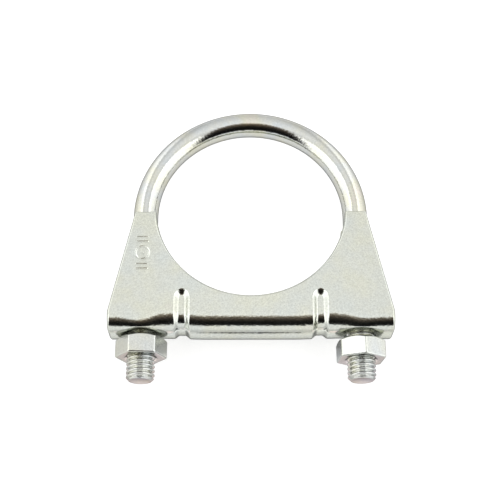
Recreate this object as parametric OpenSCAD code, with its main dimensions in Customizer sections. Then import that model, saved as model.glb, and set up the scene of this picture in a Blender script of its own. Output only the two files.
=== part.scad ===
// Pipe clamp: a U-bolt, a pressed channel saddle and two hexagon nuts.
//
// The clamp lies flat on the rear wall of its saddle. +Z runs along the axis of
// the pipe it holds, +Y points from the saddle to the crown of the U-bolt, and
// the origin is on the pipe's axis, in the plane of the rear wall. Dimensions
// are in millimetres.

/* [Pipe] */
// Outside diameter of the pipe that the clamp closes on
pipe_d = 54; // [50:0.5:60]

/* [U-bolt] */
// Diameter of the plain rod, the blank of a rolled thread
rod_d = 7.2; // [6.8:0.1:7.8]
// Outside diameter of the thread
thread_d = 8; // [7.8:0.1:8]
// Length of thread on each leg
thread_l = 30; // [20:1:34]
// Distance from the pipe's axis to the ends of the legs
leg_l = 49.4; // [46:0.2:60]
// Chamfer at the end of each leg
leg_chamfer = 0.8; // [0.3:0.1:1.5]

/* [Saddle] */
// Thickness of the pressed sheet
sheet_t = 2.2; // [1.6:0.1:2.6]
// Width of the saddle along the pipe, over both walls
saddle_w = 16.7; // [15:0.1:20]
// Length of the web, end to end
saddle_l = 79.4; // [78:0.2:90]
// Distance from the pipe's axis down to the underside of the web at the nuts
seat_drop = 36.8; // [36:0.1:37]
// Outside radius of the bend between wall and web, at the nuts
seat_bend_r = 5; // [4:0.5:7]
// Distance from the pipe's axis down to the underside of the rounded middle
belly_drop = 37.2; // [36.8:0.1:38]
// Distance from the pipe's axis down to the tips of the horns
tip_drop = 1.5; // [0.5:0.1:6]
// Distance between the outer corners of the horns' tips
tip_span = 66; // [64:0.5:72]
// Height of the square end of each wall above the seat
end_rise = 5.4; // [4:0.2:10]
// Diameter of the bolt holes
hole_d = 9; // [8.6:0.1:9.6]

/* [Ribs] */
// Distance of each rib from the middle of the saddle
rib_x = 19; // [18:0.2:21]
// Width of a rib at the surface of the sheet
rib_mouth = 4.2; // [3:0.1:5]
// Width of the floor of a rib
rib_floor = 1.9; // [1:0.1:2.5]
// Depth that a rib is pressed inwards
rib_depth = 0.8; // [0.6:0.1:1.4]
// Distance from the pipe's axis down to the upper end of a rib
rib_top = 25.6; // [24:0.2:28]
// Width of the rounded web left outside each rib
rib_land = 0.8; // [0.4:0.1:1.5]

/* [Nuts] */
// Width across the flats of a nut
nut_af = 12.7; // [12.5:0.1:13]
// Height of a nut
nut_h = 5.5; // [5:0.1:7]
// Turn of the left nut about its bolt, from a flat that faces +Z
left_turn = -6; // [-30:1:30]
// Turn of the right nut about its bolt, from a flat that faces +Z
right_turn = 24; // [-30:1:30]

/* [Clearances] */
// Radial clearance between a nut and its thread
thread_gap = 0.05; // [0.02:0.01:0.1]
// Gap between the left nut and the web, before it is tightened
left_gap = 0.6; // [0.02:0.02:1.5]
// Gap between the right nut and the web, before it is tightened
right_gap = 1.3; // [0.02:0.02:1.5]

/* [Hidden] */
$fn = 96;

// Room that a cutting shape has past the faces that it cuts
past = 1;
// Height that a rib's section starts above the surface it is pressed into
rib_root = 0.4;
// Distance of each leg from the middle of the clamp
leg_x = (pipe_d + rod_d) / 2;
// Height of the middle plane, which the U-bolt lies in, above the rear wall
mid_z = saddle_w / 2;
// Outside radius of the rounded middle of the channel
belly_r = saddle_w / 2;
// Half length of the rounded middle, which ends just outside each rib
belly_half = rib_x + rib_mouth / 2 + rib_land;
// Widest part of a nut, across its corners
nut_corners = nut_af / cos(30);
// Angle of the chamfers on a nut's corners
nut_chamfer_angle = 30;
// Diameter of the flat ring that a nut bears on
nut_face_d = 0.92 * nut_af;
// Depth of the countersink at each end of a nut's thread
countersink = 0.6;

module leg_thread() {
    body_l = thread_l - leg_chamfer;
    translate([0, -leg_l + thread_l, 0])
        rotate([90, 0, 0])
            cylinder(d = thread_d, h = body_l);
    translate([0, -leg_l + leg_chamfer, 0])
        rotate([90, 0, 0])
            cylinder(d1 = thread_d, d2 = thread_d - 2 * leg_chamfer, h = leg_chamfer);
}

module leg_rod() {
    rotate([90, 0, 0])
        cylinder(d = rod_d, h = leg_l - thread_l);
}

// Half ring of the rod over the pipe, from one leg to the other
module crown() {
    rotate_extrude(angle = 180)
        translate([leg_x, 0])
            circle(d = rod_d);
}

module u_bolt() {
    color("gainsboro")
        translate([0, 0, mid_z]) {
            crown();
            for (side = [-1, 1])
                translate([side * leg_x, 0, 0]) {
                    leg_rod();
                    leg_thread();
                }
        }
}

// Filled cross-section of the channel: straight sides and a rounded bottom
module channel_outline(w, drop, r) {
    flat = w - 2 * r;
    translate([-w / 2, -drop + r])
        square([w, drop - r]);
    if (flat > 0)
        translate([-flat / 2, -drop])
            square([flat, drop]);
    for (side = flat > 0 ? [-1, 1] : [0])
        translate([side * flat / 2, -drop + r])
            circle(r = r);
}

module channel_section(drop, r) {
    difference() {
        channel_outline(saddle_w, drop, r);
        channel_outline(saddle_w - 2 * sheet_t, drop - sheet_t, r - sheet_t);
    }
}

// Straight stretch of the channel between two places along X
module channel(from_x, to_x, drop, r) {
    translate([from_x, 0, mid_z])
        rotate([0, 90, 0])
            linear_extrude(to_x - from_x)
                channel_section(drop, r);
}

// Outline of both walls, seen along the pipe
module wall_outline() {
    half = saddle_l / 2;
    square_top = -seat_drop + end_rise;
    floor_y = -belly_drop - past;
    polygon([
        [-half, floor_y], [half, floor_y],
        [half, square_top], [tip_span / 2, -tip_drop],
        [-tip_span / 2, -tip_drop], [-half, square_top]
    ]);
}

// Half width of a rib at a depth below the surface that it is pressed into
function rib_half_width(depth) =
    (rib_mouth - (rib_mouth - rib_floor) * depth / rib_depth) / 2;

// Trapezium of a rib, rooted a little above the surface that it starts from.
// The surface is given as its depth below the outside of the channel.
module rib_section(surface) {
    root = rib_half_width(-rib_root);
    crest = rib_half_width(rib_depth);
    polygon([
        [-root, surface - rib_root], [root, surface - rib_root],
        [crest, surface + rib_depth], [-crest, surface + rib_depth]
    ]);
}

// A rib's section carried down one wall, round the belly and up the other wall
module rib_sweep(surface) {
    bend_y = -belly_drop + belly_r;
    translate([0, bend_y, mid_z]) {
        for (side = [0, 1])
            mirror([0, 0, side])
                rotate([-90, 0, 0])
                    linear_extrude(-rib_top - bend_y)
                        translate([0, -belly_r])
                            rib_section(surface);
        rotate([0, 90, 0])
            rotate([0, 0, 180])
                rotate_extrude(angle = 180)
                    translate([belly_r, 0])
                        rotate(90)
                            rib_section(surface);
    }
}

module saddle() {
    color("silver")
        difference() {
            intersection() {
                union() {
                    channel(-saddle_l / 2, -belly_half, seat_drop, seat_bend_r);
                    channel(belly_half, saddle_l / 2, seat_drop, seat_bend_r);
                    channel(-belly_half, belly_half, belly_drop, belly_r);
                    for (side = [-1, 1])
                        translate([side * rib_x, 0, 0])
                            rib_sweep(sheet_t);
                }
                linear_extrude(saddle_w)
                    wall_outline();
            }
            translate([0, 0, -past])
                cylinder(d = pipe_d, h = saddle_w + 2 * past);
            for (side = [-1, 1]) {
                translate([side * rib_x, 0, 0])
                    rib_sweep(0);
                translate([side * leg_x, 0, mid_z])
                    rotate([90, 0, 0])
                        cylinder(d = hole_d, h = belly_drop + past);
            }
        }
}

// Double cone that takes the corners off a hexagon prism lying along Y
module nut_chamfers() {
    reach = nut_corners / 2 + past;
    slope = (reach - nut_face_d / 2) * tan(nut_chamfer_angle);
    rotate_extrude()
        polygon([
            [0, 0], [nut_face_d / 2, 0], [reach, slope],
            [reach, nut_h - slope], [nut_face_d / 2, nut_h], [0, nut_h]
        ]);
}

module nut(turn) {
    bore_d = thread_d + 2 * thread_gap;
    rotate([90, 0, 0])
        difference() {
            intersection() {
                rotate([0, 0, turn])
                    cylinder(d = nut_corners, h = nut_h, $fn = 6);
                nut_chamfers();
            }
            translate([0, 0, -past])
                cylinder(d = bore_d, h = nut_h + 2 * past);
            for (end = [0, 1])
                translate([0, 0, end * nut_h])
                    mirror([0, 0, end])
                        cylinder(d1 = bore_d + 2 * countersink, d2 = bore_d, h = countersink);
        }
}

module nut_left() {
    color("lightgray")
        translate([-leg_x, -seat_drop - left_gap, mid_z])
            nut(left_turn);
}

module nut_right() {
    color("lightgray")
        translate([leg_x, -seat_drop - right_gap, mid_z])
            nut(right_turn);
}

u_bolt();
saddle();
nut_left();
nut_right();
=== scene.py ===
"""Shapes, plating and studio of the pipe clamp: U-bolt, pressed saddle and two nuts.

Shapes are worked out in millimetres in the part's frame (+Z along the pipe, +Y towards
the crown of the U-bolt) and turned into metres when each mesh is made.
"""
import math

import bpy
import numpy as np
from mathutils import Matrix, Vector
from mathutils.geometry import delaunay_2d_cdt
from mathutils.kdtree import KDTree


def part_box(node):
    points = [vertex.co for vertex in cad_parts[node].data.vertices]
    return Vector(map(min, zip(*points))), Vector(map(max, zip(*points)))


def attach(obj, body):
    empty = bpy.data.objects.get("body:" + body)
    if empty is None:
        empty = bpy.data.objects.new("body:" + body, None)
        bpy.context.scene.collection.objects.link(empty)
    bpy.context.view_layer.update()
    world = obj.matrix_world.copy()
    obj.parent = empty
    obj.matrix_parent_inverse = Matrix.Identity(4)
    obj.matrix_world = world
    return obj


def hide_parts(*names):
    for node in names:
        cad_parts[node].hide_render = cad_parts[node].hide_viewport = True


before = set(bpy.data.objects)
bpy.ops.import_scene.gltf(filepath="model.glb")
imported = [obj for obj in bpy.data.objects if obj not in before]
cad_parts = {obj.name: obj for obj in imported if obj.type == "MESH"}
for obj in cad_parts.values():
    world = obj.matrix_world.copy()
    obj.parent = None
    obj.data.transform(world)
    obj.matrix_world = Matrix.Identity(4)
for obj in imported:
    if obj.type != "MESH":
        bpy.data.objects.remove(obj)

MM = 0.001
TAU = 2 * math.pi
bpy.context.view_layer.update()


def box_mm(node):
    low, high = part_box(node)
    return np.array(low) / MM, np.array(high) / MM


SADDLE_LOW, SADDLE_HIGH = box_mm("saddle")
BOLT_LOW, BOLT_HIGH = box_mm("u_bolt")
NUTS = {name: box_mm(name) for name in ("nut_left", "nut_right")}

# Frame
MID_Z = (SADDLE_LOW[2] + SADDLE_HIGH[2]) / 2
HALF_W = (SADDLE_HIGH[2] - SADDLE_LOW[2]) / 2
LEG_X = -sum(NUTS["nut_left"])[0] / 2

# U-bolt
ROD_R = BOLT_HIGH[1] - LEG_X
CREST_R = BOLT_HIGH[0] - LEG_X
LEG_END = BOLT_LOW[1]
PITCH = 1.25
ROOT_R = 3.25
CREST_HALF = 0.12
CREST_ROUNDING = 1.3
CREST_FLAT = 0.04
THREAD_L = 30.0
RUN_OUT = 1.6
END_CHAMFER = 0.8
BOLT_COLUMNS = 72
ROWS_PER_TURN = 16
CROWN_ROWS = 121
# Rows at the chamfered end of a leg, where the rows along its thread start and how far
# they go on past it, then where the rows along the plain rod start and their spacing
END_ROWS = [0.0, 0.06]
THREAD_ROWS_FROM, PAST_THREAD = 0.15, 0.4
ROD_ROWS_FROM, ROD_STEP = 0.8, 1.0
# Rings of the cup in the end of a leg: share of the end's radius, and rise
CUP = ((0.9, -0.02), (0.75, 0.06), (0.45, 0.16), (0.2, 0.2))

# Saddle
SHEET = 2.2
SEAT_Y = -36.8
PIPE_R = 27.0
TIP_Y = SADDLE_HIGH[1]
TIP_X = 33.0
END_X = SADDLE_HIGH[0]
END_RISE = 5.4
END_Y = SEAT_Y + END_RISE
HOLE_R = 4.5
RIB_X = 19.2
RIB_HALF_MOUTH = 2.35
RIB_HALF_FLOOR = 0.7
RIB_DEPTH = 0.95
RIB_TAPER = 1.3
RIB_TOP = -25.0
# Sheared edges: width and depth of the rollover outside, and radius inside
TRIM_EDGE = (0.75, 1.3, 0.2)
HOLE_EDGE = (0.35, 0.3, 0.2)
EDGE_ROWS = 8

# Mark on the left horn, and the depth in the sheet where it has faded out
STAMP_DEPTH = 0.1
STAMP_FADE = 0.6
STROKE = 0.4
DOT_R = 0.8
MARK_AT = (-30.5, -14.6)
RING_R = 1.9
BAR_HALF = 1.5
BARS_Y = (4.8, 3.4, -3.4, -4.8)

# Lattice of points over the saddle: how far it reaches in q beyond the tips' drop, its
# spacing, and the closer spacings in the ribs, in the creases and in the mark
LATTICE_REACH = 45
LATTICE_STEP = 0.5
RIB_STEP = 0.2
CREASE_STEP = 0.16
STAMP_STEP = 0.13
# How far a rib's closer lines start before its mouth and end past it, and the room that
# is kept clear round closer lines and along edges
BEFORE_RIB, PAST_RIB = 0.2, 0.3
RIB_ROOM, LINE_ROOM, STAMP_ROOM, EDGE_ROOM = 0.4, 0.1, 0.05, 0.22
# Points of the lattice and the edges that are closer than this are joined
JOIN_WITHIN = 1e-5
# Half the distance between the points that a normal is worked out from
NORMAL_STEP = 0.02

# Outline of the saddle: rows round the notch, longest step of a straight run, spacing,
# and how many steps a corner is eased over
NOTCH_ROWS = 160
RUN_STEP = 0.2
OUTLINE_STEP = 0.1
EASE_REACH, EASE_SPREAD = 14, 3.5
HOLE_COLUMNS = 96
# Largest inset as a share of a corner's radius, and the steps that it is evened out over
INSET_SHARE, INSET_REACH = 0.8, 8
# Turn between two steps of an outline below which it counts as straight
LEAST_TURN = 1e-6

# Nuts
NUT_TURNS = {"nut_left": 6.0, "nut_right": -24.0}
NUT_AF = 12.65
NUT_FLAT = NUT_AF / 2
NUT_CORNER_R = 0.75
NUT_FACE_R = 5.95
NUT_CHAMFER = math.tan(math.radians(30))
NUT_EDGE = 0.45
NUT_EDGE_ROWS = 5
NUT_BORE_R = 4.6
# Bevel at the mouth of the bore: width and height
NUT_BEVEL = (0.1, 0.02)
# Angles from a flat's last two rows to its rounded corner, and rows of each half
CORNER_LEAD, CORNER_NEAR, CORNER_ROWS = 0.02, 0.006, 6
# Rows that keep the faces flat up to their edges: distances inwards from the lower
# rounded edge, upwards from it, and downwards from the chamfer
LOW_FACE_ROWS = (0.4, 0.04)
LOW_FLAT_ROWS = (0.04, 0.3)
HIGH_FLAT_ROWS = (0.2, 0.06)
# Rows of the chamfer: outermost, at a share of its width, innermost, and on the face
CHAMFER_OUT, CHAMFER_SHARE, CHAMFER_SAG, CHAMFER_IN, FACE_IN = 0.05, 0.85, 0.02, 0.07, 0.08
# Thread in a nut: rows, gap to the bolt, minor radius, distance of its upper end from
# the face, and how much shorter it is than the nut
NUT_THREAD_ROWS = 64
NUT_THREAD_GAP = 0.07
NUT_MINOR_R = 3.38
THREAD_BELOW_FACE, THREAD_SHORTER = 0.06, 0.1

SIXTH = math.pi / 3
TWELFTH = math.pi / 6


def smoothstep(t):
    t = np.clip(t, 0.0, 1.0)
    return t * t * (3 - 2 * t)


def eased(x, stations, values):
    """Value at x, eased from one station to the next."""
    x = np.clip(x, stations[0], stations[-1])
    i = np.clip(np.searchsorted(stations, x, side="right") - 1, 0, len(stations) - 2)
    xs, ys = np.asarray(stations, float), np.asarray(values, float)
    t = smoothstep((x - xs[i]) / (xs[i + 1] - xs[i]))
    return ys[i] + (ys[i + 1] - ys[i]) * t


# --- meshes ---------------------------------------------------------------


def new_piece(name, verts, faces, normals=None):
    """Mesh object from millimetre points. A zero normal is left to the mesh."""
    mesh = bpy.data.meshes.new(name)
    mesh.from_pydata((np.asarray(verts) * MM).tolist(), [], faces)
    mesh.update()
    mesh.polygons.foreach_set("use_smooth", [True] * len(mesh.polygons))
    if normals is not None:
        mesh.normals_split_custom_set_from_vertices(np.asarray(normals).tolist())
    piece = bpy.data.objects.new(name, mesh)
    bpy.context.scene.collection.objects.link(piece)
    return piece


def grid_faces(rows, columns, start=0, closed_rows=False):
    """Quads over rows of points, each row a closed ring."""
    faces = []
    for i in range(rows if closed_rows else rows - 1):
        a, b = start + i * columns, start + ((i + 1) % rows) * columns
        for j in range(columns):
            k = (j + 1) % columns
            faces.append((a + j, a + k, b + k, b + j))
    return faces


# --- saddle ---------------------------------------------------------------

# A place on the saddle is given by x and by q, the length round the sheet from the ridge
# of the web: above zero on the front half, below zero on the rear half.

# Stations along the saddle from its middle to its end, and at each the bow of the web's
# halves and the drop of its ridge
STATIONS = [0.0, 12.0, 22.0, 24.6, LEG_X, 36.6, END_X]
BOW = [0.05, 0.05, 0.05, 0.04, 0.02, 0.04, 0.05]
DROP = [37.1, 37.1, 36.9, 36.85, 36.7, 37.0, 37.05]

# Outside radius of the bends at the stations. The front bend is pressed to a crease
# where it meets each nut's seat, between two angles from the web's normal.
REAR_BEND = [8.2, 8.2, 8.4, 8.4, 7.2, 8.2, 8.4]
FRONT_FOOT = [4.6, 4.6, 5.4, 5.2, 12.0, 4.2, 4.3]
FRONT_CREASE = [4.6, 4.6, 5.4, 4.6, 0.2, 3.8, 4.3]
FRONT_BEND_LEFT = [4.6, 4.6, 5.4, 5.2, 3.4, 4.2, 4.3]
FRONT_BEND_RIGHT = [4.6, 4.6, 5.4, 5.2, 4.4, 4.2, 4.3]
CREASE_FROM, CREASE_TO = math.radians(16), math.radians(45)
# Span in q that the creases lie in
CREASE_Q = (4.0, 9.6)
# Least outside radius that the inside of the sheet follows without folding
LEAST_CREASE = SHEET + 0.6


def section_at(x, q):
    """Web radius, bow, arcs of the bend, half lengths of web and bend, drop."""
    ax = np.abs(x)
    bow = eased(ax, STATIONS, BOW)
    rear = eased(ax, STATIONS, REAR_BEND)
    front = np.where(
        x < 0, eased(ax, STATIONS, FRONT_BEND_LEFT), eased(ax, STATIONS, FRONT_BEND_RIGHT)
    )
    foot = np.where(q > 0, eased(ax, STATIONS, FRONT_FOOT), rear)
    crease = np.where(q > 0, eased(ax, STATIONS, FRONT_CREASE), rear)
    arcs = [
        (foot, bow, CREASE_FROM),
        (crease, CREASE_FROM, CREASE_TO),
        (np.where(q > 0, front, rear), CREASE_TO, math.pi / 2),
    ]
    across = sum(r * (np.sin(high) - np.sin(low)) for r, low, high in arcs)
    rw = (HALF_W - across) / np.sin(bow)
    q_web = rw * bow
    q_bend = q_web + sum(r * (high - low) for r, low, high in arcs)
    return rw, bow, arcs, q_web, q_bend, eased(ax, STATIONS, DROP)


def wall_offset(x, q):
    """y of the wall at x is |q| plus this."""
    rw, bow, arcs, _, q_bend, drop = section_at(x, q)
    rise = sum(r * (np.cos(low) - np.cos(high)) for r, low, high in arcs)
    return -drop + rw * (1 - np.cos(bow)) + rise - q_bend


def eased_crease(arcs):
    """Arcs of a bend as wide and as high, whose middle one is no tighter than a fold."""
    (foot, a, b), (crease, _, c), (top, _, d) = arcs
    wide = [np.sin(b) - np.sin(a), np.sin(c) - np.sin(b), np.sin(d) - np.sin(c)]
    high = [np.cos(a) - np.cos(b), np.cos(b) - np.cos(c), np.cos(c) - np.cos(d)]
    eased_by = np.maximum(LEAST_CREASE - crease, 0) / (wide[0] * high[2] - wide[2] * high[0])
    foot = foot + eased_by * (wide[2] * high[1] - wide[1] * high[2])
    top = top + eased_by * (wide[1] * high[0] - wide[0] * high[1])
    return [(foot, a, b), (np.maximum(crease, LEAST_CREASE), b, c), (top, c, d)]


def saddle_base(x, q, inner=False):
    """Point of the undented outside at x and q, and the inward normal there.

    The inside of the sheet is laid off from the same bends with their creases eased."""
    rw, bow, arcs, q_web, q_bend, drop = section_at(x, q)
    side, aq = np.sign(q), np.abs(q)
    if inner:
        arcs = eased_crease(arcs)
        bend = sum(r * (high - low) for r, low, high in arcs)
        in_bend = np.clip(aq - q_web, 0, q_bend - q_web) * bend / (q_bend - q_web)
        aq = np.minimum(aq, q_web) + in_bend + np.maximum(aq - q_bend, 0)
        q_bend = q_web + bend
    angle = np.minimum(aq / rw, bow)
    z, rise, start = rw * np.sin(angle), rw * (1 - np.cos(angle)), q_web
    for r, low, high in arcs:
        turned = np.clip((aq - start) / r, 0, high - low)
        z = z + r * (np.sin(low + turned) - np.sin(low))
        rise = rise + r * (np.cos(low) - np.cos(low + turned))
        angle = angle + turned
        start = start + r * (high - low)
    y = -drop + rise + np.maximum(aq - q_bend, 0)
    point = np.stack([x, y, MID_Z + side * z], -1)
    inward = np.stack([np.zeros_like(x), np.cos(angle), -side * np.sin(angle)], -1)
    return point, inward


def rib_depth(x, q):
    """Depth of the round-ended grooves that are pressed into the web and walls."""
    u = np.abs(np.abs(x) - RIB_X)
    y = np.abs(q) + wall_offset(x, q)
    past_end = np.maximum(y - RIB_TOP + RIB_TAPER * RIB_HALF_MOUTH, 0)
    away = np.hypot(u, past_end / RIB_TAPER)
    return RIB_DEPTH * smoothstep((RIB_HALF_MOUTH - away) / (RIB_HALF_MOUTH - RIB_HALF_FLOOR))


def stroke(distance, half_width):
    """Depth of a stamped line at a distance from its middle."""
    return smoothstep(1.0 - np.abs(distance) / half_width)


def stamp_depth(x, q):
    """A made-up mark on one horn: a ring round a dot, between two pairs of bars."""
    u = x - MARK_AT[0]
    v = np.abs(q) + wall_offset(x, q) - MARK_AT[1]
    from_middle = np.hypot(u, v)
    depth = np.maximum(stroke(from_middle, DOT_R), stroke(from_middle - RING_R, STROKE))
    for bar_y in BARS_Y:
        bar = np.hypot(np.maximum(np.abs(u) - BAR_HALF, 0), v - bar_y)
        depth = np.maximum(depth, stroke(bar, STROKE))
    return np.where(q > 0, STAMP_DEPTH * depth, 0.0)


def stamp_patch():
    """Lattice lines in x and q that are close enough to carry the mark."""
    x, y = MARK_AT
    shift = -float(wall_offset(np.array([x]), np.array([1.0]))[0])
    reach_x, reach_y = RING_R + 2 * STROKE, max(BARS_Y) + 2 * STROKE
    xs = np.arange(x - reach_x, x + reach_x, STAMP_STEP)
    qs = np.arange(y - reach_y, y + reach_y, STAMP_STEP) + shift
    return xs, qs


def saddle_point(x, q, depth):
    """Point of the sheet at a depth below its outside, with ribs and mark pressed in."""
    outer, inward = saddle_base(x, q)
    inner, inner_inward = saddle_base(x, q, inner=True)
    share = depth / SHEET
    point = outer + (inner + inner_inward * SHEET - outer) * share
    stamped = stamp_depth(x, q) * max(1 - depth / STAMP_FADE, 0)
    pressed = rib_depth(x, q) + stamped
    return point + (inward + (inner_inward - inward) * share) * pressed[:, None]


def outline_xy():
    """Upper outline of the right half of a wall, from the end to the middle."""
    notch_start = math.acos(-TIP_Y / PIPE_R)
    arc = [
        (PIPE_R * math.sin(a), -PIPE_R * math.cos(a))
        for a in np.linspace(notch_start, 0, NOTCH_ROWS)
    ]
    return [(END_X, END_Y), (TIP_X, TIP_Y)] + arc


def saddle_outline():
    """Closed outline in x and q, material on its left, with its corners eased."""
    half = np.array(outline_xy())
    # straight runs are split first, since the walls' offset varies along x
    fine = [half[0]]
    for a, b in zip(half[:-1], half[1:]):
        steps = max(1, int(np.hypot(*(b - a)) / RUN_STEP))
        fine += [a + (b - a) * (k + 1) / steps for k in range(steps)]
    fine = np.array(fine)
    walls = []
    for side in (1, -1):
        q = side * (fine[:, 1] - wall_offset(fine[:, 0], np.full(len(fine), side)))
        quarter = np.stack([fine[:, 0], q], -1)
        walls.append(np.concatenate([quarter, (quarter * [-1, 1])[::-1][1:]]))
    loop = np.concatenate([walls[0], walls[1][::-1], walls[0][:1]])
    s = np.concatenate([[0], np.cumsum(np.hypot(*np.diff(loop, axis=0).T))])
    t = np.linspace(0, s[-1], int(s[-1] / OUTLINE_STEP), endpoint=False)
    even = np.stack([np.interp(t, s, loop[:, 0]), np.interp(t, s, loop[:, 1])], -1)
    shifts = np.arange(-EASE_REACH, EASE_REACH + 1)
    weights = np.exp(-0.5 * (shifts / EASE_SPREAD) ** 2)
    weights /= weights.sum()
    eased_loop = sum(w * np.roll(even, k, axis=0) for k, w in zip(shifts, weights))
    return eased_loop[::2]


def hole_outline(x):
    a = np.linspace(0, TAU, HOLE_COLUMNS, endpoint=False)
    return np.stack([x + HOLE_R * np.cos(a), -HOLE_R * np.sin(a)], -1)


def inward_normals(loop):
    """Unit normals of a closed loop, to its left."""
    t = np.roll(loop, -1, axis=0) - np.roll(loop, 1, axis=0)
    t /= np.linalg.norm(t, axis=1)[:, None]
    return np.stack([-t[:, 1], t[:, 0]], -1)


def inset_share(loop, widest):
    """Share of an inset that each corner of a loop has room for."""
    step = np.roll(loop, -1, axis=0) - loop
    heading = np.arctan2(step[:, 1], step[:, 0])
    turn = (heading - np.roll(heading, 1) + math.pi) % TAU - math.pi
    radius = np.hypot(*step.T) / np.maximum(turn, LEAST_TURN)
    share = np.minimum(1.0, INSET_SHARE * radius / widest)
    shifts = range(-INSET_REACH, INSET_REACH + 1)
    share = np.min([np.roll(share, k) for k in shifts], axis=0)
    return np.mean([np.roll(share, k) for k in shifts], axis=0)


def edge_profile(rollover_w, rollover_d, inner_r):
    """Inset and depth of the rings round an edge, from the outside to the inside."""
    quarter = np.linspace(0, math.pi / 2, EDGE_ROWS)
    rings = [
        (rollover_w * (1 - math.sin(a)), rollover_d * (1 - math.cos(a))) for a in quarter
    ]
    rings += [
        (inner_r * (1 - math.cos(a)), SHEET - inner_r * (1 - math.sin(a)))
        for a in quarter
    ]
    if inner_r < rollover_w:
        rings.append((rollover_w, SHEET))
    return rings


def inside(points, loops):
    """Even-odd test of points against closed loops."""
    hit = np.zeros(len(points), bool)
    px, py = points[:, 0], points[:, 1]
    for loop in loops:
        for (ax, ay), (bx, by) in zip(loop, np.roll(loop, -1, axis=0)):
            if ay == by:
                continue
            cross = (ay > py) != (by > py)
            hit ^= cross & (px < ax + (py - ay) * (bx - ax) / (by - ay))
    return hit


def lattice_lines():
    """Places in x and in q of the lattice's lines, closer in the ribs and creases."""
    coarse = np.arange(-END_X, END_X, LATTICE_STEP)
    near_rib = np.abs(np.abs(coarse) - RIB_X) < RIB_HALF_MOUTH + RIB_ROOM
    dense = np.arange(-RIB_HALF_MOUTH - BEFORE_RIB, RIB_HALF_MOUTH + PAST_RIB, RIB_STEP)
    xs = np.concatenate([coarse[~near_rib], dense - RIB_X, dense + RIB_X])
    top = LATTICE_REACH - TIP_Y
    qs = np.concatenate([
        np.arange(-top, CREASE_Q[0], LATTICE_STEP),
        np.arange(*CREASE_Q, CREASE_STEP),
        np.arange(CREASE_Q[1], top, LATTICE_STEP),
    ])
    for side in (1, -1):
        end_q = RIB_TOP - float(wall_offset(np.array([RIB_X]), np.array([side]))[0])
        start_q = end_q - RIB_HALF_MOUTH - BEFORE_RIB
        ramp = side * np.arange(start_q, end_q + PAST_RIB, RIB_STEP)
        apart = (qs < ramp.min() - LINE_ROOM) | (qs > ramp.max() + LINE_ROOM)
        qs = np.concatenate([qs[apart], ramp])
    return xs, qs


def crossings(xs, qs):
    """Points where the lines of a lattice cross."""
    gx, gq = np.meshgrid(xs, qs)
    return np.stack([gx.ravel(), gq.ravel()], -1)


def within_span(values, lines):
    """Whether each value is among a run of lines, or close to it."""
    return np.abs(values - lines.mean()) < np.ptp(lines) / 2 + STAMP_ROOM


def lattice_points(loops):
    """Points of the saddle's surface away from its edges, closer where it is shaped."""
    points = crossings(*lattice_lines())
    patch_x, patch_q = stamp_patch()
    in_patch = within_span(points[:, 0], patch_x) & within_span(points[:, 1], patch_q)
    points = np.concatenate([points[~in_patch], crossings(patch_x, patch_q)])
    points = points[inside(points, loops)]
    tree = KDTree(sum(len(loop) for loop in loops))
    for i, (x, q) in enumerate(np.concatenate(loops)):
        tree.insert((x, q, 0), i)
    tree.balance()
    far = [tree.find((x, q, 0))[2] > EDGE_ROOM for x, q in points]
    return points[np.array(far)]


def saddle_normals(xq, depth, outward):
    """Unit normals of the sheet at a depth, from points a little to each side."""
    x, q, h = xq[:, 0], xq[:, 1], NORMAL_STEP
    along_x = saddle_point(x + h, q, depth) - saddle_point(x - h, q, depth)
    along_q = saddle_point(x, q + h, depth) - saddle_point(x, q - h, depth)
    n = np.cross(along_x, along_q)
    n /= np.linalg.norm(n, axis=1)[:, None]
    return n if outward else -n


def edge_rings(loop, rings):
    """Rings of an edge in x and q, with their points and normals.

    Only the first and last ring have normals, those of the skins that they end."""
    n = inward_normals(loop) * inset_share(loop, rings[0][0])[:, None]
    places = [loop + n * inset for inset, _ in rings]
    depths = [depth for _, depth in rings]
    points = [saddle_point(xq[:, 0], xq[:, 1], d) for xq, d in zip(places, depths)]
    normals = [np.zeros((len(loop), 3)) for _ in rings]
    normals[0] = saddle_normals(places[0], depths[0], True)
    normals[-1] = saddle_normals(places[-1], depths[-1], False)
    return places, points, normals


def skin_triangles(rims, lattice):
    """Triangles over the points of the rims and then of the lattice, none in a hole."""
    flat = np.concatenate([*rims, lattice])
    links, start = [], 0
    for rim in rims:
        size = len(rim)
        links += [(start + j, start + (j + 1) % size) for j in range(size)]
        start += size
    _, _, tris, source, _, _ = delaunay_2d_cdt(
        [Vector(p) for p in flat.tolist()], links, [], 0, JOIN_WITHIN
    )
    first = [ids[0] for ids in source]
    tris = np.array([[first[i] for i in t] for t in tris])
    return tris[inside(flat[tris].mean(1), rims)]


def make_saddle():
    loops = [saddle_outline(), hole_outline(-LEG_X), hole_outline(LEG_X)]
    verts, normals, faces = [], [], []
    rims, outer, inner, count = [], [], [], 0
    for loop, edge in zip(loops, (TRIM_EDGE, HOLE_EDGE, HOLE_EDGE)):
        rings = edge_profile(*edge)
        places, points, ring_normals = edge_rings(loop, rings)
        verts += points
        normals += ring_normals
        rims.append(places[0])
        size, end = len(loop), count + len(rings) * len(loop)
        faces += [(a, d, c, b) for a, b, c, d in grid_faces(len(rings), size, count)]
        outer += range(count, count + size)
        inner += range(end - size, end)
        count = end
    lattice = lattice_points(rims)
    tris = skin_triangles(rims, lattice)
    for rim, depth, order in ((outer, 0.0, (0, 1, 2)), (inner, SHEET, (0, 2, 1))):
        verts.append(saddle_point(lattice[:, 0], lattice[:, 1], depth))
        normals.append(saddle_normals(lattice, depth, rim is outer))
        index = np.array(rim + list(range(count, count + len(lattice))))
        count += len(lattice)
        faces += [tuple(index[t[k]] for k in order) for t in tris]
    return new_piece(
        "saddle_sheet", np.concatenate(verts), faces, np.concatenate(normals)
    )


# --- U-bolt ---------------------------------------------------------------


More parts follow.
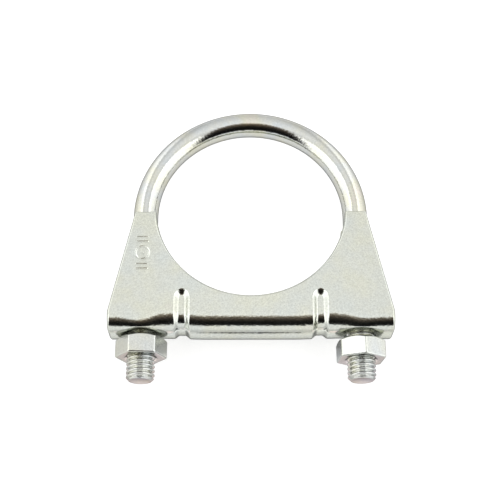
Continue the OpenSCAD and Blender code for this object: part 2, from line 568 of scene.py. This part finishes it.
def thread_radius(w, theta):
    """Radius of the bolt's surface, w from the leg's end, theta about +Y from +Z."""
    phase = (w / PITCH - theta / TAU) % 1.0
    from_crest = np.minimum(phase, 1 - phase) * PITCH
    fall = np.clip((from_crest - CREST_HALF) / (PITCH / 2 - CREST_HALF), 0, 1)
    crest = CREST_R - CREST_FLAT
    thread = crest - (crest - ROOT_R) * fall**CREST_ROUNDING
    run = smoothstep((w - THREAD_L + RUN_OUT) / RUN_OUT)
    blank = thread + (ROD_R - thread) * run
    return np.minimum(blank, CREST_R - END_CHAMFER + w)


def bolt_path():
    """Stations along the rod: distance from a leg's end, centre and inward normal."""
    straight = -LEG_END
    rows = [
        *END_ROWS,
        *np.arange(THREAD_ROWS_FROM, THREAD_L + PAST_THREAD, PITCH / ROWS_PER_TURN),
        *np.arange(THREAD_L + ROD_ROWS_FROM, straight, ROD_STEP),
        straight,
    ]
    leg = [(w, np.array([-LEG_X, LEG_END + w, MID_Z]), np.array([1.0, 0, 0])) for w in rows]
    arc = []
    for a in np.linspace(0, math.pi, CROWN_ROWS)[1:-1]:
        spoke = np.array([-math.cos(a), math.sin(a), 0])
        arc.append((straight + LEG_X * a, spoke * LEG_X + [0, 0, MID_Z], -spoke))
    other = [(w, c * [-1, 1, 1], n * [-1, 1, 1]) for w, c, n in reversed(leg)]
    return leg, arc, other


def close_leg(verts, faces, edge, ring, first):
    """Cupped end of a leg, added inside its last ring, whose points start at an edge."""
    centre = ring.mean(0)
    for scale, rise in CUP:
        start = len(verts) * BOLT_COLUMNS
        verts.append(centre + (ring - centre) * scale + [0, rise, 0])
        for j in range(BOLT_COLUMNS):
            k = (j + 1) % BOLT_COLUMNS
            quad = (edge + j, edge + k, start + k, start + j)
            faces.append(quad if first else quad[::-1])
        edge = start
    last = tuple(range(edge, edge + BOLT_COLUMNS))
    faces.append(last if first else last[::-1])


def make_bolt():
    theta = np.linspace(0, TAU, BOLT_COLUMNS, endpoint=False)
    leg, arc, other = bolt_path()
    verts = []
    for part, turn in ((leg, 1), (arc, 0), (other, -1)):
        for w, centre, inner in part:
            r = np.full(BOLT_COLUMNS, ROD_R)
            if turn:
                r = thread_radius(np.full(BOLT_COLUMNS, w), turn * theta)
            ring = centre + (r * np.sin(theta))[:, None] * inner
            ring = ring + (r * np.cos(theta))[:, None] * [0, 0, 1]
            verts.append(ring)
    faces = [f[::-1] for f in grid_faces(len(verts), BOLT_COLUMNS)]
    far_edge, far_ring = (len(verts) - 1) * BOLT_COLUMNS, verts[-1]
    close_leg(verts, faces, 0, verts[0], True)
    close_leg(verts, faces, far_edge, far_ring, False)
    return new_piece("u_bolt_rod", np.concatenate(verts), faces)


# --- nuts -----------------------------------------------------------------


def corner_start():
    """Angle from a flat's middle at which a rounded corner starts."""
    return math.atan2((NUT_FLAT - NUT_CORNER_R) * math.tan(TWELFTH), NUT_FLAT)


def hexagon_radius(angle):
    """Radius of a hexagon with rounded corners, from a flat's middle."""
    a = (angle + TWELFTH) % SIXTH - TWELFTH
    centre = (NUT_FLAT - NUT_CORNER_R) / math.cos(TWELFTH)
    b = TWELFTH - np.abs(a)
    across = centre * np.cos(b) + np.sqrt(
        NUT_CORNER_R**2 - np.minimum((centre * np.sin(b)) ** 2, NUT_CORNER_R**2)
    )
    return np.where(np.abs(a) <= corner_start(), NUT_FLAT / np.cos(a), across)


def nut_angles():
    """Angles round a nut, closer at its six rounded corners."""
    limit = corner_start()
    half = np.concatenate([
        np.linspace(0, limit - CORNER_LEAD, CORNER_ROWS),
        [limit - CORNER_NEAR],
        np.linspace(limit, TWELFTH, CORNER_ROWS),
    ])
    sixth = np.concatenate([-half[1:-1][::-1], half])
    return np.concatenate([sixth + k * SIXTH for k in range(6)])


def nut_outside(radius, low, high):
    """Radius and height of the rows over a nut, from its lower bore to its upper one."""
    bevel_w, bevel_h = NUT_BEVEL
    bore, face, end = NUT_BORE_R, NUT_FACE_R, radius - NUT_EDGE
    chamfer_y = high - (radius - face) * NUT_CHAMFER
    rows = [(bore, low + bevel_h), (bore + bevel_w, low)]
    rows += [(end - d, low) for d in LOW_FACE_ROWS]
    for a in np.linspace(0, math.pi / 2, NUT_EDGE_ROWS):
        rows.append((end + NUT_EDGE * math.sin(a), low + NUT_EDGE * (1 - math.cos(a))))
    rows += [(radius, low + NUT_EDGE + d) for d in LOW_FLAT_ROWS]
    rows += [(radius, chamfer_y - d) for d in HIGH_FLAT_ROWS]
    rows += [
        (radius - CHAMFER_OUT, chamfer_y + CHAMFER_OUT * NUT_CHAMFER),
        (
            face + CHAMFER_SHARE * (radius - face) - CHAMFER_SAG,
            high - CHAMFER_SHARE * (radius - face) * NUT_CHAMFER,
        ),
        (face + CHAMFER_IN, high - CHAMFER_IN * NUT_CHAMFER),
        (face - FACE_IN, high),
        (bore + bevel_w, high),
        (bore, high - bevel_h),
    ]
    return rows


def nut_thread(theta, low, high):
    """Radius and height of the rows of a nut's thread, which mates with the bolt's."""
    rows = []
    for k in range(NUT_THREAD_ROWS):
        share = (k + 0.5) / NUT_THREAD_ROWS
        y = high - THREAD_BELOW_FACE - (high - low - THREAD_SHORTER) * share
        mating = thread_radius(np.full(len(theta), y - LEG_END), theta) + NUT_THREAD_GAP
        sink = NUT_BORE_R - min(high - y, y - low)
        rows.append((np.maximum(mating, max(NUT_MINOR_R, sink)), y))
    return rows


def make_nut(name, node):
    low_corner, high_corner = NUTS[node]
    x, low, high = (low_corner[0] + high_corner[0]) / 2, low_corner[1], high_corner[1]
    local = nut_angles()
    theta = local + math.radians(NUT_TURNS[node])
    columns = len(theta)
    rows = nut_outside(hexagon_radius(local), low, high) + nut_thread(theta, low, high)
    verts = []
    for radius, height in rows:
        r, y = np.broadcast_to(radius, columns), np.broadcast_to(height, columns)
        verts.append(np.stack([x + r * np.sin(theta), y, MID_Z + r * np.cos(theta)], -1))
    faces = grid_faces(len(rows), columns, closed_rows=True)
    return new_piece(name, np.concatenate(verts), faces)


# --- nodes ----------------------------------------------------------------


def grey(v):
    return (v, v, v)


class Nodes:
    """Node tree that is wired from the outputs of its nodes."""

    def __init__(self, tree):
        self.tree = tree
        tree.nodes.clear()

    def put(self, value, socket):
        """Give a socket a constant, or another node's output."""
        if isinstance(value, bpy.types.NodeSocket):
            self.tree.links.new(value, socket)
        else:
            socket.default_value = value

    def add(self, kind, sockets=None, **settings):
        """New node. Its sockets are given by name or number, and its settings by name."""
        node = self.tree.nodes.new(kind)
        for name, value in settings.items():
            setattr(node, name, value)
        for key, value in (sockets or {}).items():
            self.put(value, node.inputs[key])
        return node

    def maths(self, operation, *values):
        """A sum worked out from numbers and outputs."""
        node = self.add("ShaderNodeMath", dict(enumerate(values)), operation=operation)
        return node.outputs["Value"]

    def span(self, value, start, end, to=(0, 1), ease="LINEAR"):
        """A value's place between a start and an end, carried to another span."""
        sockets = {"Value": value, "From Min": start, "From Max": end}
        sockets.update({"To Min": to[0], "To Max": to[1]})
        node = self.add("ShaderNodeMapRange", sockets, interpolation_type=ease)
        return node.outputs["Result"]

    def ramp(self, value, stops):
        """Colour by a value from 0 to 1. Each stop is a place and a colour."""
        node = self.add("ShaderNodeValToRGB", {"Fac": value})
        elements = node.color_ramp.elements
        while len(elements) < len(stops):
            elements.new(0.5)
        for element, (at, colour) in zip(elements, stops):
            element.position = at
            element.color = (*colour, 1)
        return node.outputs["Color"]

    def table(self, value, stops, unit=1):
        """Colour by a value from a table, whose places are counted in a unit."""
        low, high = stops[0][0], stops[-1][0]
        place = self.span(value, low * unit, high * unit)
        return self.ramp(place, [((at - low) / (high - low), tone) for at, tone in stops])

    def mix(self, share, first, second, blend="MIX"):
        """Two colours mixed; a mix node has them at its inputs 6 and 7."""
        sockets = {"Factor": share, 6: first, 7: second}
        node = self.add("ShaderNodeMix", sockets, data_type="RGBA", blend_type=blend)
        return node.outputs[2]


class Shader(Nodes):
    """Node tree of a new material, with the settings of its surface."""

    def __init__(self, name, surface):
        self.material = bpy.data.materials.new(name)
        self.material.use_nodes = True
        super().__init__(self.material.node_tree)
        self.surface = self.add("ShaderNodeBsdfPrincipled", surface)
        self.add("ShaderNodeOutputMaterial", {"Surface": self.surface.outputs["BSDF"]})
        self.place = self.add("ShaderNodeTexCoord").outputs["Object"]

    def noise(self, scale, detail, rough):
        sockets = {"Vector": self.place, "Scale": scale, "Detail": detail, "Roughness": rough}
        return self.add("ShaderNodeTexNoise", sockets).outputs["Fac"]

    def mottled(self, noise, low, high):
        """Grey that a noise carries from a low tone to a high one."""
        stops = list(zip(NOISE_SPAN, (grey(low), grey(high))))
        return self.ramp(self.noise(*noise), stops)

    def bump(self, noise, strength, height, under=None):
        """Normal of a surface with the height of a noise, laid over another normal."""
        sockets = {"Height": self.noise(*noise), "Strength": strength, "Distance": height}
        if under:
            sockets["Normal"] = under
        return self.add("ShaderNodeBump", sockets).outputs["Normal"]

    def complete(self, sockets):
        """Material, once more of its surface's sockets have been given."""
        for key, value in sockets.items():
            self.put(value, self.surface.inputs[key])
        return self.material


# --- plating --------------------------------------------------------------

# Reflectance of plated steel close to grazing, below that of a clean mirror
EDGE_TINT = (0.35, 0.35, 0.36, 1)

# Noises, each with its scale, its detail and the roughness of that detail, and the part
# of a noise's range that its tones are spread over
CLOUD_NOISE = (110, 3, 0.55)
DUST_NOISE = (2300, 2, 0.6)
PATCH_NOISE = (900, 4, 0.6)
GRAIN_NOISE = (1600, 1, 0.5)
DENT_NOISE = (700, 2, 0.5)
PAPER_NOISE = (3, 2, 0.5)
NOISE_SPAN = (0.3, 0.7)

# Change of the tint in the clouds, by the noise's value
CLOUDS = [
    (0.30, (-0.03, -0.01, 0.03)), (0.48, (0, 0, 0)),
    (0.62, (0.02, 0.01, -0.04)), (0.75, (0.03, -0.01, -0.02)),
]

# Height in metres of the grain and of the broad dents, and strength of the dents
GRAIN_HEIGHT = 0.0002
DENT_HEIGHT, DENT_STRENGTH = 0.0001, 0.12

# Plating of each piece: its tint, roughness and how far that varies, strength of the
# grain, contrast of the dust and strength of the clouds
SADDLE_PLATE = {
    "tint": (0.75, 0.77, 0.70), "rough": 0.14, "mottle": 0.03,
    "grain": 0.19, "dust": 0.10, "clouds": 1.0,
}
BOLT_PLATE = {
    "tint": (0.74, 0.75, 0.71), "rough": 0.1, "mottle": 0.03,
    "grain": 0.14, "dust": 0.06, "clouds": 2.2,
}
LEFT_PLATE = {
    "tint": (0.75, 0.76, 0.71), "rough": 0.2, "mottle": 0.04,
    "grain": 0.2, "dust": 0.08, "clouds": 1.0,
}
RIGHT_PLATE = {**LEFT_PLATE, "tint": (0.74, 0.76, 0.73)}


def zinc(name, tint, rough, mottle, grain, dust, clouds):
    """Bright zinc plate: tinted in soft clouds, finely grained, duller in patches."""
    s = Shader(name, {"Metallic": 1.0, "Specular Tint": EDGE_TINT})
    stops = [
        (at, [c * (1 + change * clouds) for c, change in zip(tint, changes)])
        for at, changes in CLOUDS
    ]
    cloudy = s.ramp(s.noise(*CLOUD_NOISE), stops)
    dusty = s.mottled(DUST_NOISE, 1 - dust, 1 + dust)
    tinted = s.add("ShaderNodeVectorMath", {0: cloudy, 1: dusty}, operation="MULTIPLY")
    grained = s.bump(GRAIN_NOISE, grain, GRAIN_HEIGHT)
    return s.complete({
        "Base Color": tinted.outputs["Vector"],
        "Roughness": s.mottled(PATCH_NOISE, rough - mottle, rough + mottle),
        "Normal": s.bump(DENT_NOISE, DENT_STRENGTH, DENT_HEIGHT, grained),
    })


# --- paper and painted reflections ----------------------------------------

# Floor: radius of the sheet, place of its middle and its gap below the clamp
FLOOR_R = 4000
FLOOR_Y = -8
FLOOR_GAP = 0.01
FLOOR_COLUMNS, FLOOR_ROWS = 96, 10
# Its reflectance and how far that varies, and its glow for the eye and for all else
FLOOR_ALBEDO, FLOOR_MOTTLE = 0.55, 1.02
FLOOR_ROUGH = 0.9
FLOOR_GLOW = 0.72
FLOOR_GLOW_UNSEEN = 0.3

# Tone of the card by its place in front of the web, its half length, and its height. The card
# glows and only the metal shows it: its bands are a painted reflection of the floor, bright
# by the web and with painted shade farther out.
PAINTED_FLOOR_BANDS = [
    (-37.4, 0.8), (-39.2, 1.0), (-40.5, 1.35), (-42.6, 1.35), (-43.6, 1.0), (-48.0, 0.85),
    (-53.0, 0.62), (-60.0, 0.66), (-80.0, 0.84),
]
CARD_HALF_X = 48.0
CARD_Z = 0.02

# Oval slips on the card, with their place, half lengths and tone, and their height. Each
# glows and only the metal shows it: the dark one paints a reflected line of shade into the
# web, the warm bright ones paint a reflection into the underside of each nut.
PAINTED_SLIPS = {
    "painted_shade_slip": ((0, -45.6), (16.5, 2.8), (0.02, 0.02, 0.02)),
    "left_nut_painted_reflection": ((-LEG_X, -49.4), (9.5, 5.6), (1.2, 1.05, 1.06)),
    "right_nut_painted_reflection": ((LEG_X, -49.4), (9.5, 5.6), (1.2, 1.05, 1.06)),
}
SLIP_Z = 0.04
SLIP_COLUMNS = 64


def paper_white():
    """White paper, lit from below like a light table, brighter for the eye than for metal."""
    s = Shader("floor_white", {
        "Roughness": FLOOR_ROUGH, "Specular IOR Level": 0.0, "Emission Color": (1, 1, 1, 1),
    })
    seen = s.add("ShaderNodeLightPath").outputs["Is Camera Ray"]
    return s.complete({
        "Base Color": s.mottled(PAPER_NOISE, FLOOR_ALBEDO, FLOOR_ALBEDO * FLOOR_MOTTLE),
        "Emission Strength": s.span(seen, 0, 1, (FLOOR_GLOW_UNSEEN, FLOOR_GLOW)),
    })


def make_floor():
    """A round sheet of white paper under the clamp."""
    angles = np.linspace(0, TAU, FLOOR_COLUMNS, endpoint=False)
    verts = [[0.0, FLOOR_Y, -FLOOR_GAP]]
    for k in range(1, FLOOR_ROWS + 1):
        r = FLOOR_R * (k / FLOOR_ROWS) ** 2
        verts += [[r * math.cos(a), FLOOR_Y + r * math.sin(a), -FLOOR_GAP] for a in angles]
    faces = [(0, 1 + j, 1 + (j + 1) % FLOOR_COLUMNS) for j in range(FLOOR_COLUMNS)]
    faces += [f[::-1] for f in grid_faces(FLOOR_ROWS, FLOOR_COLUMNS, 1)]
    floor = new_piece("floor", verts, faces)
    floor.data.materials.append(paper_white())


def glowing(name):
    """Shader of a surface that only glows."""
    return Shader(name, {
        "Base Color": (0, 0, 0, 1), "Specular IOR Level": 0.0, "Emission Strength": 1.0,
    })


def lay_card(card, material):
    """A card on the floor that nothing but the metal shows, so that it paints a reflection
    into the metal.
    """
    card.data.materials.append(material)
    card.visible_camera = False
    card.visible_diffuse = False
    card.visible_shadow = False


def make_painted_reflections():
    """Glowing cards that only the metal shows, which paint reflections: a card in soft bands
    of grey in front of the web, a painted reflection of the floor with its shade, with a dark
    slip that paints a reflected line of shade into the web and a warm bright one that paints
    a reflection into the underside of each nut."""
    x, near, far = CARD_HALF_X, PAINTED_FLOOR_BANDS[0][0], PAINTED_FLOOR_BANDS[-1][0]
    corners = [(-x, near, CARD_Z), (-x, far, CARD_Z), (x, far, CARD_Z), (x, near, CARD_Z)]
    s = glowing("painted_reflection_bands")
    split = s.add("ShaderNodeSeparateXYZ", {"Vector": s.place})
    bands = [(y, grey(tone)) for y, tone in PAINTED_FLOOR_BANDS]
    material = s.complete({"Emission Color": s.table(split.outputs["Y"], bands, MM)})
    # A glowing card that paints the floor's reflection, with painted shade in its darker
    # bands, into the metal
    lay_card(new_piece("painted_reflection_card", corners, [(0, 1, 2, 3)]), material)
    for name, ((x, y), (half_x, half_y), tone) in PAINTED_SLIPS.items():
        rim = [
            (x + half_x * math.cos(a), y + half_y * math.sin(a), SLIP_Z)
            for a in np.linspace(0, TAU, SLIP_COLUMNS, endpoint=False)
        ]
        slip = new_piece(name, rim, [tuple(range(SLIP_COLUMNS))])
        # Each slip glows with its tone: a painted reflection in the metal, of shade for the
        # dark one
        lay_card(slip, glowing(name + "_tone").complete({"Emission Color": (*tone, 1)}))


# --- studio ---------------------------------------------------------------

KEY_ELEVATION = 62.0
KEY_POWER = 2.5
KEY_SIZE = 0.22

# Brightness of the room above the floor on the side that the clamp's bolt ends face,
# by the angle from overhead down to the horizon, in degrees
DARK_SIDE = [
    (-10, (1.08, 1.08, 1.08)), (-2, (1.08, 1.08, 1.05)), (3, (0.83, 0.80, 0.76)),
    (7, (0.47, 0.42, 0.37)), (11, (0.24, 0.205, 0.17)), (16, (0.145, 0.12, 0.095)),
    (24, (0.085, 0.066, 0.052)), (30, (0.045, 0.036, 0.03)), (36, (0.026, 0.022, 0.018)),
    (44, (0.010, 0.009, 0.008)), (53, (0.004, 0.004, 0.004)), (66, (0.008, 0.008, 0.008)),
    (71, (0.03, 0.03, 0.03)), (74, (0.30, 0.30, 0.30)), (77, (0.90, 0.90, 0.90)),
    (90, (0.98, 0.98, 0.98)),
]

# Degrees round from the middle of the dark side, over which it gives way to the room
DARK_SIDE_FADE = (42, 60)

# Brightness behind the crown and overhead by the same angle, where sideways light is 1
BACK_SIDE = [(-95, 0.80), (-60, 0.86), (-24, 1.04), (-4, 1.14), (20, 1.1)]

# Brightness by how far sideways a direction points, from straight ahead to 90 degrees
SIDEWAYS = [
    (0.0, 0.90), (0.18, 0.86), (0.32, 0.70), (0.40, 1.05), (0.46, 1.5), (0.64, 1.5),
    (0.72, 1.28), (0.88, 1.3), (0.97, 1.2),
]


def studio_light():
    """A bright room, dark on the side that the bolt ends face; the eye sees plain white."""
    world = bpy.data.worlds.new("studio")
    world.use_nodes = True
    n = Nodes(world.node_tree)
    direction = n.add("ShaderNodeTexCoord").outputs["Generated"]
    x, y, z = n.add("ShaderNodeSeparateXYZ", {"Vector": direction}).outputs
    side = n.maths("ABSOLUTE", x)
    away = n.maths("MULTIPLY", y, -1.0)
    tilt = n.maths("DEGREES", n.maths("ARCTAN2", away, z))
    azimuth = n.maths("DEGREES", n.maths("ARCTAN2", side, away))
    behind = n.table(tilt, [(at, grey(tone)) for at, tone in BACK_SIDE])
    sideways = n.ramp(side, [(at, grey(tone)) for at, tone in SIDEWAYS])
    bright = n.mix(1.0, sideways, behind, "MULTIPLY")
    darkness = n.span(azimuth, *DARK_SIDE_FADE, to=(1, 0), ease="SMOOTHSTEP")
    room = n.mix(darkness, bright, n.table(tilt, DARK_SIDE))
    seen = n.add("ShaderNodeLightPath").outputs["Is Camera Ray"]
    background = n.add("ShaderNodeBackground", {"Color": n.mix(seen, room, (1, 1, 1, 1))})
    n.add("ShaderNodeOutputWorld", {"Surface": background.outputs["Background"]})
    bpy.context.scene.world = world


def key_light():
    """A broad lamp above and behind the crown; it lights the floor, not the metal."""
    data = bpy.data.lights.new("key", "AREA")
    data.shape = "DISK"
    data.size = KEY_SIZE
    data.energy = KEY_POWER
    lamp = bpy.data.objects.new("key", data)
    bpy.context.scene.collection.objects.link(lamp)
    a = math.radians(KEY_ELEVATION)
    place = Vector((0.0, math.cos(a), math.sin(a)))
    lamp.location = place
    lamp.rotation_mode = "QUATERNION"
    lamp.rotation_quaternion = (-place).to_track_quat("-Z", "Y")
    lamp.visible_glossy = False
    lamp.visible_camera = False


# Camera: place in millimetres, then its turns from looking straight down, in radians,
# its lens and sensor in millimetres, and the nearest and farthest it sees, in metres
CAMERA_AT = (-2.756, -127.62, 290.68)
CAMERA_YAW, CAMERA_PITCH, CAMERA_ROLL = 0.0091, 0.3936, -0.0044
CAMERA_LENS, CAMERA_SENSOR = 76.01, 36
CAMERA_CLIP = (0.01, 20)


def make_camera():
    data = bpy.data.cameras.new("camera")
    data.lens = CAMERA_LENS
    data.sensor_width = CAMERA_SENSOR
    data.clip_start, data.clip_end = CAMERA_CLIP
    camera = bpy.data.objects.new("camera", data)
    bpy.context.scene.collection.objects.link(camera)
    yaw, pitch, roll = CAMERA_YAW, CAMERA_PITCH, CAMERA_ROLL
    level = math.cos(pitch)
    ahead = Vector((math.sin(yaw) * level, math.sin(pitch), -math.cos(yaw) * level))
    right = Vector((math.cos(yaw), 0, math.sin(yaw)))
    up = right.cross(ahead)
    rolled_right = right * math.cos(roll) + up * math.sin(roll)
    rolled_up = up * math.cos(roll) - right * math.sin(roll)
    turn = Matrix((rolled_right, rolled_up, -ahead)).transposed().to_4x4()
    camera.matrix_world = Matrix.Translation(Vector(CAMERA_AT) * MM) @ turn
    bpy.context.scene.camera = camera


# --- assembly -------------------------------------------------------------


def dress(piece, material, body, node):
    piece.data.materials.append(material)
    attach(piece, body)
    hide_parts(node)


make_camera()
studio_light()
key_light()
make_floor()
make_painted_reflections()
dress(
    make_saddle(), zinc("saddle_plate", **SADDLE_PLATE),
    "saddle", "saddle",
)
dress(
    make_bolt(), zinc("bolt_plate", **BOLT_PLATE),
    "u_bolt", "u_bolt",
)
dress(
    make_nut("nut_left_hex", "nut_left"), zinc("nut_left_plate", **LEFT_PLATE),
    "nut_left", "nut_left",
)
dress(
    make_nut("nut_right_hex", "nut_right"), zinc("nut_right_plate", **RIGHT_PLATE),
    "nut_right", "nut_right",
)

bpy.context.scene.view_settings.view_transform = "Standard"
